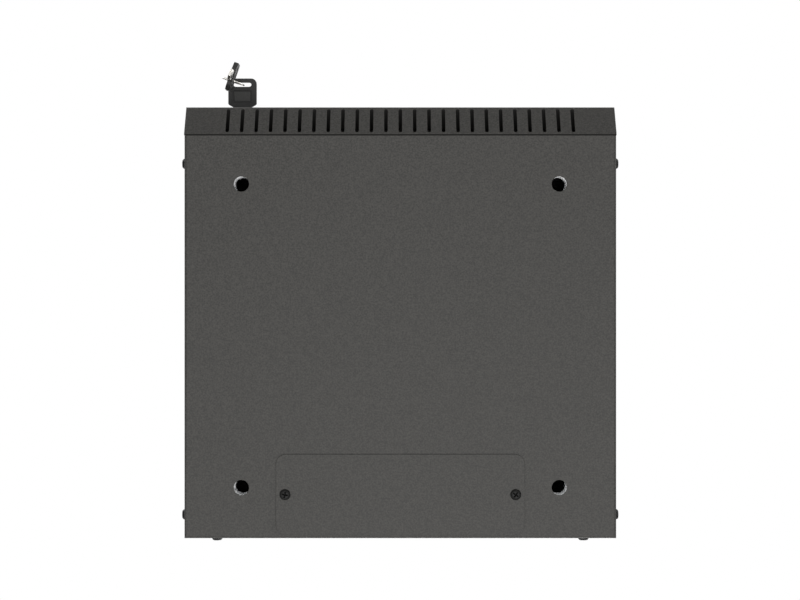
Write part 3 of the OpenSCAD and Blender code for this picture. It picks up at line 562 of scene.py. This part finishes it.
def black_zinc():
    """Black passivated zinc: nearly black, dull, and a little cloudy."""
    material, tree, shader, place = new_material("black_zinc")
    tone, height = grain(tree, place, 4000, 900)
    tree.links.new(
        between(tree, tone, (0.006, 0.006, 0.006, 1), (0.016, 0.016, 0.015, 1)), shader.inputs["Base Color"]
    )
    tree.links.new(between(tree, tone, 0.42, 0.55), shader.inputs["Roughness"])
    shader.inputs["Specular IOR Level"].default_value = 0.12
    bump(tree, shader, height, 0.00002, 0.4)
    return material


black_screw = black_zinc()
case_screw = pan_screw(
    "case_screw", shank_r=0.00195, shank_l=0.006, head_r=0.004, head_h=0.0024, pitch=0.0007
)
for node, outward in (
    ("bottom_cover_screws", (0, 0, -1)),
    ("top_cover_screws", (0, 0, 1)),
    ("side_screws", lambda middle: (math.copysign(1, middle.x), 0, 0)),
    ("rear_screws", (0, 1, 0)),
):
    set_fasteners(node, case_screw, outward, black_screw, 0.4, 1.3)


# Foot nuts: turned sleeves with a thin flange, zinc plated and pressed in behind the foot holes.
# Their fine internal thread shows as the bright edge in each hole.
foot_sides = 48
foot_thread_deep = 0.0005
foot_thread_pitch = 0.001
foot_flange_h = 0.0015
foot_wall = 0.0015
flange_chamfer = 0.0003
sleeve_chamfer = 0.0004


def zinc_plate(name, dark, light, rough, metal):
    """Zinc plate: a cloudy, spangled metal, brightest where it is smooth."""
    material, tree, shader, place = new_material(name)
    tone, height = grain(tree, place, 1500, 260)
    tree.links.new(between(tree, tone, dark, light), shader.inputs["Base Color"])
    tree.links.new(between(tree, tone, rough[0], rough[1]), shader.inputs["Roughness"])
    shader.inputs["Metallic"].default_value = metal
    bump(tree, shader, height, 0.00001, 0.5)
    return material


bright_zinc = zinc_plate("bright_zinc", (0.42, 0.43, 0.44, 1), (0.68, 0.69, 0.7, 1), (0.26, 0.46), 1)
pale_zinc = zinc_plate("pale_zinc", (0.78, 0.79, 0.8, 1), (0.9, 0.9, 0.9, 1), (0.4, 0.6), 0.3)
foot_low, foot_high = solids_of("foot_nuts")[0]
foot_nut_h = foot_high.z - foot_low.z
foot_flange_r = (foot_high.x - foot_low.x) / 2
foot_mount = next(mount for mount in frame["record"]["mounts"] if mount["name"] == "foot_holes")
foot_bore_r = foot_mount["dims"]["hole_r_mm"] / 1000
sleeve_r = foot_bore_r + foot_wall
sleeve = linked("foot_nut", turned(
    "foot_nut",
    [
        (0, foot_bore_r),
        (0, foot_flange_r - flange_chamfer),
        (-flange_chamfer, foot_flange_r),
        (-foot_flange_h + flange_chamfer, foot_flange_r),
        (-foot_flange_h, foot_flange_r - flange_chamfer),
        (-foot_flange_h, sleeve_r),
        (-foot_nut_h + sleeve_chamfer, sleeve_r),
        (-foot_nut_h, sleeve_r - sleeve_chamfer),
    ] + thread_rings(
        -foot_nut_h, 0, foot_bore_r, foot_bore_r + foot_thread_deep, foot_thread_pitch, 6
    ),
    foot_sides, closed=True,
))
set_fasteners("foot_nuts", sleeve, (0, 0, -1), pale_zinc)


# Rear cable edging, door bumpers and glass gasket: black rubber. The edging is pressed round the
# cable hole, the bumpers are stuck to the left post where the door's rim meets it, and the gasket
# beds the glass.
edging_edge = 0.0004
gasket_edge = 0.0002


def black_rubber():
    """Matt moulded rubber with a dusty bloom."""
    material, tree, shader, place = new_material("black_rubber")
    tone, height = grain(tree, place, 2600, 300)
    tree.links.new(
        between(tree, tone, (0.016, 0.016, 0.016, 1), (0.034, 0.034, 0.033, 1)), shader.inputs["Base Color"]
    )
    tree.links.new(between(tree, tone, 0.62, 0.8), shader.inputs["Roughness"])
    shader.inputs["Specular IOR Level"].default_value = 0.3
    bump(tree, shader, height, 0.00003, 0.4)
    return material


rubber = black_rubber()
for soft, edge in (
    ("rear_cable_edging", edging_edge), ("door_bumpers", edging_edge), ("glass_gasket", gasket_edge),
):
    stands_for(rounded_copy(soft, edge, rubber), soft)


# Rail bars and rack rails: pressed steel with bright zinc. The bars are spot welded inside the
# side panels, and the rails with their square cage nut holes slide along them.
pressed_edge = 0.00012
for metal in (
    "bar_left_upper", "bar_left_lower", "bar_right_upper", "bar_right_lower", "left_rail", "right_rail",
):
    stands_for(rounded_copy(metal, pressed_edge, bright_zinc), metal)


# Rail screws and nuts: M5 pan heads put in from inside the rails, and hexagon nuts that lie in the
# bars' channels, all steel with bright zinc. Slackened, they let a rail slide.
nut_sides = 72
nut_chamfer_steps = (0, 0.0002, 0.0004, 0.0007)
nut_chamfer_slope = 1.7
nut_face_share = 0.97
nut_mouth_share = 0.05
nut_thread_lead = 0.0002
nut_thread_share = 0.5


def hex_nut(name, across_flats, height, bore, pitch):
    """A chamfered hexagon nut with a threaded bore, from its top at the origin downwards."""
    def flat_r(a):
        return across_flats / 2 / math.cos((a + math.pi / 6) % (math.pi / 3) - math.pi / 6)

    def chamfered(depth):
        limit = across_flats / 2 * nut_face_share + depth * nut_chamfer_slope
        return lambda a: min(flat_r(a), limit)

    mouth_r = bore + height * nut_mouth_share
    rings = [(0, mouth_r)]
    rings += [(-depth, chamfered(depth)) for depth in nut_chamfer_steps]
    rings += [(-height + depth, chamfered(depth)) for depth in reversed(nut_chamfer_steps)]
    rings += [(-height, mouth_r)]
    rings += thread_rings(
        -height + nut_thread_lead, -nut_thread_lead, bore, bore + pitch * nut_thread_share, pitch, 5,
        nut_thread_lead,
    )
    return linked(name, turned(name, rings, nut_sides, closed=True))


rail_screw = pan_screw(
    "rail_screw", shank_r=0.00245, shank_l=0.0101, head_r=0.00475, head_h=0.003, pitch=0.0008,
    cross_share=1.25,
)
rail_nut = hex_nut("rail_nut", across_flats=0.008, height=0.004, bore=0.00255, pitch=0.0008)
for side, way in (("left", 1), ("right", -1)):
    set_fasteners(side + "_rail_screws", rail_screw, (way, 0, 0), bright_zinc, 0.3, 1.4)
    set_fasteners(side + "_rail_nuts", rail_nut, (-way, 0, 0), bright_zinc, math.pi / 2)


# Earth studs: yellow passivated M6 studs, welded by their heads to the bottom and to the door.
# Each carries a plain nut for the earth wire.
stud_sides = 36
stud_r = 0.0029
stud_head_r = 0.0045
stud_head_h = 0.001
stud_tip_share = 0.7
stud_root_share = 0.84
stud_pitch = 0.001
stud_chamfer = 0.0003
stud_thread_top = 0.0004
stud_thread_foot = 0.0006


def yellow_zinc():
    """Yellow chromate over zinc, with its rainbow cast."""
    material, tree, shader, place = new_material("yellow_zinc")
    tone, height = grain(tree, place, 1200, 330)
    tree.links.new(
        between(tree, tone, (0.5, 0.36, 0.13, 1), (0.68, 0.57, 0.3, 1)), shader.inputs["Base Color"]
    )
    tree.links.new(between(tree, tone, 0.25, 0.42), shader.inputs["Roughness"])
    shader.inputs["Metallic"].default_value = 1
    bump(tree, shader, height, 0.00001, 0.4)
    return material


yellow = yellow_zinc()
for node, outward in (("earth_stud", (0, 0, 1)), ("door_earth_stud", (0, 1, 0))):
    low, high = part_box(node)
    foot = -(high - low).dot(Vector(outward))
    neck = foot + stud_head_h
    root_r = stud_r * stud_root_share
    rings = [(0, 0), (0, stud_r * stud_tip_share), (-stud_chamfer, root_r)]
    rings += thread_rings(neck + stud_thread_foot, -stud_thread_top, root_r, stud_r, stud_pitch, 6)[::-1]
    rings += [(neck, stud_r), (neck, stud_head_r), (foot, stud_head_r), (foot, 0)]
    prototype = linked(node + "_shape", turned(node + "_shape", rings, stud_sides))
    set_fasteners(node, prototype, outward, yellow)
    bpy.data.objects.remove(prototype)
earth_hex = hex_nut("earth_hex", across_flats=0.01, height=0.005, bore=0.003, pitch=0.001)
set_fasteners("earth_nut", earth_hex, (0, 0, 1), bright_zinc, 0.2)
set_fasteners("door_earth_nut", earth_hex, (0, 1, 0), bright_zinc, 0.5)


# Door: a folded pan in the same powder coat, its glass on a rubber gasket, held by eight small
# Z clips on welded studs.
glass_edge = 0.0005
clip_edge = 0.0002
stands_for(rounded_copy("door_frame", coat_edge, black_coat), "door_frame")


def smoked_glass():
    """Toughened smoked glass."""
    material, tree, shader, place = new_material("smoked_glass")
    shader.inputs["Base Color"].default_value = (0.32, 0.34, 0.35, 1)
    shader.inputs["Transmission Weight"].default_value = 1
    shader.inputs["IOR"].default_value = 1.5
    tree.links.new(between(tree, noise(tree, place, 40, 2), 0.012, 0.03), shader.inputs["Roughness"])
    return material


stands_for(rounded_copy("door_glass", glass_edge, smoked_glass()), "door_glass")
stands_for(rounded_copy("glass_clips", clip_edge, bright_zinc), "glass_clips")
clip_nut = hex_nut("clip_nut", across_flats=0.0055, height=0.0024, bore=0.002, pitch=0.0007)
set_fasteners("glass_clip_nuts", clip_nut, (0, 1, 0), bright_zinc, 0.1, 1.0)


# Hinges: zinc plated pivot pins. The upper one slides in a welded bracket against a coil spring
# and is drawn down by its cross bar.
hinge_edge = 0.0003
spring_wire_r = 0.0004
spring_turns = 8.0
spring_steps = 36
for metal in ("hinge_bracket", "hinge_pin_lower", "hinge_pin_upper"):
    stands_for(rounded_copy(metal, hinge_edge, bright_zinc), metal)
spring_low, spring_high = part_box("hinge_spring")


def coil_tree():
    """Geometry nodes: a round wire wound along +Z from the origin."""
    tree = bpy.data.node_groups.new("wound_wire", "GeometryNodeTree")
    tree.interface.new_socket("Geometry", in_out="INPUT", socket_type="NodeSocketGeometry")
    for name in ("Turns", "Coil Radius", "Height", "Wire Radius", "Wire Height"):
        tree.interface.new_socket(name, in_out="INPUT", socket_type="NodeSocketFloat")
    tree.interface.new_socket("Steps", in_out="INPUT", socket_type="NodeSocketInt")
    tree.interface.new_socket("Material", in_out="INPUT", socket_type="NodeSocketMaterial")
    tree.interface.new_socket("Geometry", in_out="OUTPUT", socket_type="NodeSocketGeometry")
    add = tree.nodes.new
    link = tree.links.new
    entry, leave = add("NodeGroupInput"), add("NodeGroupOutput")
    spiral = add("GeometryNodeCurveSpiral")
    ring = add("GeometryNodeCurvePrimitiveCircle")
    ring.inputs["Resolution"].default_value = 12
    squash = add("GeometryNodeTransform")
    size = add("ShaderNodeCombineXYZ")
    sweep = add("GeometryNodeCurveToMesh")
    sweep.inputs["Fill Caps"].default_value = True
    smooth = add("GeometryNodeSetShadeSmooth")
    paint = add("GeometryNodeSetMaterial")
    link(entry.outputs["Turns"], spiral.inputs["Rotations"])
    link(entry.outputs["Coil Radius"], spiral.inputs["Start Radius"])
    link(entry.outputs["Coil Radius"], spiral.inputs["End Radius"])
    link(entry.outputs["Height"], spiral.inputs["Height"])
    link(entry.outputs["Steps"], spiral.inputs["Resolution"])
    ring.inputs["Radius"].default_value = 1
    link(entry.outputs["Wire Radius"], size.inputs["X"])
    link(entry.outputs["Wire Height"], size.inputs["Y"])
    size.inputs["Z"].default_value = 1
    link(ring.outputs["Curve"], squash.inputs["Geometry"])
    link(size.outputs["Vector"], squash.inputs["Scale"])
    link(spiral.outputs["Curve"], sweep.inputs["Curve"])
    link(squash.outputs["Geometry"], sweep.inputs["Profile Curve"])
    link(sweep.outputs["Mesh"], smooth.inputs["Geometry"])
    link(smooth.outputs["Geometry"], paint.inputs["Geometry"])
    link(entry.outputs["Material"], paint.inputs["Material"])
    link(paint.outputs["Geometry"], leave.inputs["Geometry"])
    return tree


wound_wire = coil_tree()
spring_middle = (spring_low + spring_high) / 2
spring = grown(
    "hinge_spring_finish", bpy.data.meshes.new("hinge_spring_finish"), wound_wire,
    Turns=spring_turns, Coil_Radius=(spring_high.x - spring_low.x) / 2 - spring_wire_r,
    Height=spring_high.z - spring_low.z - 2 * spring_wire_r,
    Wire_Radius=spring_wire_r, Wire_Height=spring_wire_r, Steps=spring_steps, Material=bright_zinc,
)
for vertex in spring.data.vertices:
    vertex.co += Vector((spring_middle.x, spring_middle.y, spring_low.z + spring_wire_r))
stands_for(spring, "hinge_spring")
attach(spring, "door")
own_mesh(spring)


# Cam lock: die cast and chromed, with its hexagon nut behind the door, the turning plug with the
# keyway, and a pressed cam.
lock_edge = 0.00025


def chrome():
    """Chrome plate with faint wipe marks."""
    material, tree, shader, place = new_material("chrome")
    tone, height = grain(tree, place, 900, 200)
    tree.links.new(
        between(tree, tone, (0.6, 0.61, 0.63, 1), (0.72, 0.73, 0.75, 1)), shader.inputs["Base Color"]
    )
    tree.links.new(between(tree, tone, 0.08, 0.2), shader.inputs["Roughness"])
    shader.inputs["Metallic"].default_value = 1
    return material


chromed = chrome()
for metal in ("lock_body", "lock_plug", "lock_cam", "cam_screw"):
    stands_for(rounded_copy(metal, lock_edge, chromed), metal)
lock_hex = hex_nut("lock_hex", across_flats=0.021, height=0.004, bore=0.0081, pitch=0.001)
set_fasteners("lock_nut", lock_hex, (0, 1, 0), bright_zinc, math.pi / 6)


# Keys: nickel plated blades moulded into black plastic heads. The spare hangs from the split
# ring, which passes through the slots of both heads.
head_edge = 0.00045
blade_edge = 0.00015
shoulder_inset = 0.0048
shoulder_share = 0.61
slot_near = 0.0158
slot_far = 0.02005
slot_half = 0.00695
narrow_share = 0.79
pad_near = 0.0047
pad_far = 0.0121
pad_half = 0.00625
ring_turns = 1.93
ring_steps = 96
ring_inset = 0.00075
ring_wire_h = 0.00036
ring_wire_r = 0.0006


def key_plastic(name, dark, light):
    """Black moulded plastic with a fine eroded texture, a little shinier in patches."""
    material, tree, shader, place = new_material(name)
    tone, height = grain(tree, place, 5200, 500)
    tree.links.new(between(tree, tone, dark, light), shader.inputs["Base Color"])
    tree.links.new(between(tree, tone, 0.4, 0.55), shader.inputs["Roughness"])
    shader.inputs["Specular IOR Level"].default_value = 0.3
    bump(tree, shader, height, 0.00003, 0.5)
    return material


def nickel_plate():
    """Nickel plate, warm and unevenly polished."""
    material, tree, shader, place = new_material("nickel_plate")
    tone, height = grain(tree, place, 2400, 500)
    tree.links.new(
        between(tree, tone, (0.62, 0.6, 0.56, 1), (0.78, 0.76, 0.72, 1)), shader.inputs["Base Color"]
    )
    tree.links.new(between(tree, tone, 0.14, 0.28), shader.inputs["Roughness"])
    shader.inputs["Metallic"].default_value = 1
    return material


head_plastic = key_plastic("key_plastic", (0.022, 0.022, 0.0215, 1), (0.037, 0.037, 0.0355, 1))
# The pads get a paler plastic than the rest of the head: painted light on their faces.
pad_painted_light_plastic = key_plastic("key_pad_plastic", (0.046, 0.046, 0.044, 1), (0.068, 0.0675, 0.065, 1))
nickel = nickel_plate()


def moulded(head, along, across, slot_share):
    """A key head with its shoulders and its slot drawn in, and its pads painted paler as painted light."""
    low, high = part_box(head)
    middle = (low + high) / 2
    near_end = abs((high - low).dot(along)) / 2

    def reshape(point):
        back = near_end - (point - middle).dot(along)
        side = abs((point - middle).dot(across))
        if side - back > shoulder_inset:
            point += along * back * (1 - shoulder_share)
        elif slot_near < back < slot_far and side < slot_half:
            point += along * (back - slot_near) * (1 - slot_share)

    piece = rounded_copy(head, head_edge, head_plastic, reshape)
    # Painted light: the faces within the pads take the paler plastic.
    piece.data.materials.append(pad_painted_light_plastic)
    for face in piece.data.polygons:
        corners = [piece.data.vertices[i].co - middle for i in face.vertices]
        if all(
            abs(corner.dot(across)) < pad_half and pad_near < near_end - corner.dot(along) < pad_far
            for corner in corners
        ):
            face.material_index = 1
    return piece


ring_axis = Vector(next(j for j in frame["joints"] if j["name"] == "ring_swing")["axis"])
for head, along, across, slot_share in (
    ("key_head", Vector((0, 1, 0)), Vector((1, 0, 0)), narrow_share),
    ("spare_key_head", Vector((0, 0, -1)), ring_axis, 1),
):
    stands_for(moulded(head, along, across, slot_share), head)
for blade in ("key_blade", "spare_key_blade"):
    stands_for(rounded_copy(blade, blade_edge, nickel), blade)

ring_low, ring_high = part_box("key_ring")
ring_middle = (ring_low + ring_high) / 2
ring_outer_r = (ring_high.z - ring_low.z) / 2
split_ring = grown(
    "key_ring_finish", bpy.data.meshes.new("key_ring_finish"), wound_wire,
    Turns=ring_turns, Coil_Radius=ring_outer_r - ring_inset, Height=2 * ring_wire_h,
    Wire_Radius=ring_wire_r, Wire_Height=ring_wire_h, Steps=ring_steps, Material=nickel,
)
tilt = Vector((0, 0, 1)).rotation_difference(ring_axis).to_matrix()
for vertex in split_ring.data.vertices:
    vertex.co = tilt @ (vertex.co - Vector((0, 0, ring_wire_h))) + ring_middle
stands_for(split_ring, "key_ring")


# The single screws, nuts and sleeve that the fasteners were copied from. They leave the scene
# here, now that every fastener is set in its place.
for prototype in (case_screw, sleeve, rail_screw, rail_nut, earth_hex, clip_nut, lock_hex):
    bpy.data.objects.remove(prototype)


# The stage: a pale floor far below the hanging cabinet, a white surround and soft studio lamps.
floor_z = -3.0
floor_half = 60


def seen_white(tree, plain, white, share=1.0):
    """A mix of two shaders: plain for light on the object, white for what the eye and gloss see."""
    rays = tree.nodes.new("ShaderNodeLightPath")
    first = tree.nodes.new("ShaderNodeMath")
    first.operation = "MAXIMUM"
    second = tree.nodes.new("ShaderNodeMath")
    second.operation = "MAXIMUM"
    tree.links.new(rays.outputs["Is Camera Ray"], first.inputs[0])
    tree.links.new(rays.outputs["Is Transmission Ray"], first.inputs[1])
    tree.links.new(first.outputs["Value"], second.inputs[0])
    tree.links.new(rays.outputs["Is Glossy Ray"], second.inputs[1])
    part = tree.nodes.new("ShaderNodeMath")
    part.operation = "MULTIPLY"
    part.inputs[1].default_value = share
    tree.links.new(second.outputs["Value"], part.inputs[0])
    mix = tree.nodes.new("ShaderNodeMixShader")
    tree.links.new(part.outputs["Value"], mix.inputs["Fac"])
    tree.links.new(plain, mix.inputs[1])
    tree.links.new(white, mix.inputs[2])
    return mix.outputs["Shader"]


world = bpy.data.worlds.new("studio")
world.use_nodes = True
world_tree = world.node_tree
world_tree.nodes.clear()
surround = world_tree.nodes.new("ShaderNodeBackground")
surround.inputs["Color"].default_value = (1, 1, 1, 1)
surround.inputs["Strength"].default_value = 0.16
white_view = world_tree.nodes.new("ShaderNodeBackground")
white_view.inputs["Color"].default_value = (1, 1, 1, 1)
white_view.inputs["Strength"].default_value = 1
world_out = world_tree.nodes.new("ShaderNodeOutputWorld")
world_tree.links.new(
    seen_white(world_tree, surround.outputs["Background"], white_view.outputs["Background"]),
    world_out.inputs["Surface"],
)
bpy.context.scene.world = world

floor_mesh = bpy.data.meshes.new("floor")
floor_mesh.from_pydata(
    [(-floor_half, -floor_half, floor_z), (floor_half, -floor_half, floor_z),
     (floor_half, floor_half, floor_z), (-floor_half, floor_half, floor_z)],
    [], [(0, 1, 2, 3)],
)
floor = linked("floor", floor_mesh)
floor_material, floor_tree, floor_shader, floor_place = new_material("pale_floor")
floor_tree.links.new(
    between(floor_tree, noise(floor_tree, floor_place, 3), (0.8, 0.8, 0.8, 1), (0.84, 0.84, 0.84, 1)),
    floor_shader.inputs["Base Color"],
)
floor_shader.inputs["Roughness"].default_value = 0.8
floor_glow = floor_tree.nodes.new("ShaderNodeEmission")
floor_glow.inputs["Color"].default_value = (1, 1, 1, 1)
floor_out = next(node for node in floor_tree.nodes if node.type == "OUTPUT_MATERIAL")
floor_tree.links.new(
    seen_white(floor_tree, floor_shader.outputs["BSDF"], floor_glow.outputs["Emission"], 0.82),
    floor_out.inputs["Surface"],
)
floor_mesh.materials.append(floor_material)


def lamp(name, place, aim, size, watts):
    """A soft square lamp that the camera doesn't see."""
    data = bpy.data.lights.new(name, "AREA")
    data.shape = "SQUARE"
    data.size = size
    data.energy = watts
    made = bpy.data.objects.new(name, data)
    made.location = place
    made.rotation_euler = (Vector(aim) - Vector(place)).to_track_quat("-Z", "Y").to_euler()
    made.visible_camera = False
    bpy.context.scene.collection.objects.link(made)


case_middle = (0, -0.15, 0)
lamp("under_lamp", (0.15, 0.4, -2.1), case_middle, 1.4, 37.3)
lamp("key_lamp", (-1.6, -2.0, 2.3), case_middle, 1.8, 110)
lamp("fill_lamp", (2.2, -1.7, 0.9), case_middle, 1.6, 36)
lamp("back_lamp", (0.6, 2.4, 2.4), case_middle, 1.8, 80)

bpy.context.scene.view_settings.view_transform = "Standard"
